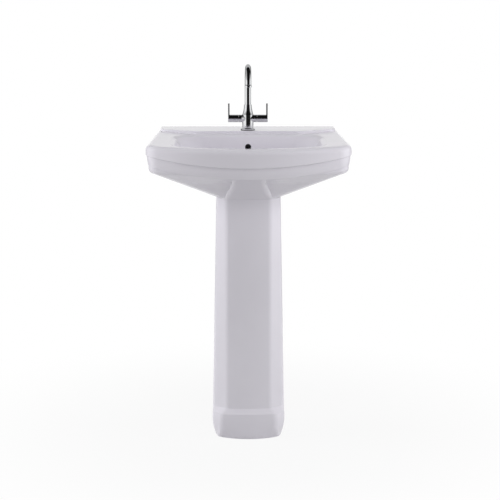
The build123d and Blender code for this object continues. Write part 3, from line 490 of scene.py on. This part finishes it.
def mirror_or_glass(tree, path):
    """1 for the rays that a mirror or glass sends on, 0 for all others."""
    return maths(tree, "MAXIMUM", path.outputs["Is Glossy Ray"], path.outputs["Is Transmission Ray"])


def mix_shaders(tree, factor, first, second):
    """The first shader where the factor is 0, the second where it is 1."""
    mix = tree.nodes.new("ShaderNodeMixShader")
    tree.links.new(factor, mix.inputs["Fac"])
    tree.links.new(first, mix.inputs[1])
    tree.links.new(second, mix.inputs[2])
    return mix.outputs["Shader"]


def background(tree, strength):
    """A white background, its strength a number or a socket."""
    node = tree.nodes.new("ShaderNodeBackground")
    node.inputs["Color"].default_value = (1.0, 1.0, 1.0, 1.0)
    put(tree, strength, node.inputs["Strength"])
    return node.outputs["Background"]


def mirrored_studio(tree):
    """What mirrors see: white, but for the dark card, the two flags and the grey ceiling."""
    place = tree.nodes.new("ShaderNodeTexCoord")
    across, ahead, up = axes(tree, place.outputs["Generated"])
    aside = maths(tree, "ABSOLUTE", maths(tree, "SUBTRACT", across, CARD_SHIFT))
    beside_card = spread(tree, aside, CARD_SIDE, (CARD, 1.0))
    behind_card = spread(tree, ahead, CARD_BACK, (CARD, 1.0))
    card = maths(tree, "MAXIMUM", beside_card, behind_card)
    before_flags = spread(tree, ahead, FLAG_FRONT, (1.0, FLAG))
    between_flags = spread(tree, maths(tree, "ABSOLUTE", across), FLAG_SIDE, (1.0, FLAG))
    over_flags = spread(tree, up, FLAG_TOP, (FLAG, 1.0))
    flags = maths(tree, "MAXIMUM", maths(tree, "MAXIMUM", before_flags, between_flags), over_flags)
    ceiling = spread(tree, up, CEILING_RISE, (1.0, CEILING))
    return maths(tree, "MULTIPLY", card, maths(tree, "MULTIPLY", flags, ceiling))


def make_world():
    """White to the camera, a soft even light on the object, and a studio that only mirrors see."""
    scene.world = bpy.data.worlds.new("studio")
    tree = empty_tree(scene.world)
    path = tree.nodes.new("ShaderNodeLightPath")
    mirrored = background(tree, mirrored_studio(tree))
    shown = mix_shaders(tree, mirror_or_glass(tree, path), background(tree, SURROUND), mirrored)
    shown = mix_shaders(tree, path.outputs["Is Camera Ray"], shown, background(tree, 1.0))
    show(tree, "ShaderNodeOutputWorld", shown)


def make_floor():
    """Pale floor that reads as white, keeps a soft shadow round the foot and fades out at its rim."""
    bpy.ops.mesh.primitive_circle_add(
        vertices=FLOOR_CORNERS, radius=FLOOR_SIZE / 2, fill_type="NGON"
    )
    floor = bpy.context.object
    floor.name = "floor"
    material = bpy.data.materials.new("floor")
    tree = empty_tree(material)
    place = tree.nodes.new("ShaderNodeTexCoord")
    reach = vector_maths(tree, "LENGTH", place.outputs["Object"])["Value"]
    whiteness = spread(tree, reach, FLOOR_FADE, (FLOOR_WHITE_NEAR, 1.0))
    diffuse = tree.nodes.new("ShaderNodeBsdfDiffuse")
    diffuse.inputs["Color"].default_value = (FLOOR_ALBEDO, FLOOR_ALBEDO, FLOOR_ALBEDO, 1.0)
    white = tree.nodes.new("ShaderNodeEmission")
    white.inputs["Strength"].default_value = 1.0
    path = tree.nodes.new("ShaderNodeLightPath")
    seen = maths(tree, "MAXIMUM", path.outputs["Is Camera Ray"], mirror_or_glass(tree, path))
    factor = maths(tree, "MULTIPLY", seen, whiteness)
    shown = mix_shaders(tree, factor, diffuse.outputs["BSDF"], white.outputs["Emission"])
    show(tree, "ShaderNodeOutputMaterial", shown)
    floor.data.materials.append(material)


def make_lamps():
    """Soft lamps aimed at the middle of the object, which mirrors don't see."""
    for name, (place, size, power) in LAMPS.items():
        data = bpy.data.lights.new(name, "AREA")
        data.shape = "RECTANGLE"
        data.size, data.size_y = size
        data.energy = power
        lamp = bpy.data.objects.new(name, data)
        scene.collection.objects.link(lamp)
        lamp.location = place
        aim = Vector(LAMP_AIM) - Vector(place)
        lamp.rotation_euler = aim.to_track_quat("-Z", "Y").to_euler()
        lamp.visible_glossy = False


def make_camera():
    """View from in front and a little above, with no shift and no blur."""
    data = bpy.data.cameras.new("camera")
    data.sensor_width = CAMERA_SENSOR
    data.lens = CAMERA_LENS
    camera = bpy.data.objects.new("camera", data)
    scene.collection.objects.link(camera)
    camera.location = CAMERA_PLACE
    camera.rotation_euler = (math.radians(90 - CAMERA_PITCH), 0, math.radians(CAMERA_TURN))
    scene.camera = camera


finish_nodes()
reshape_ceramics()
make_world()
make_lamps()
make_floor()
make_camera()
scene.view_settings.view_transform = "Standard"
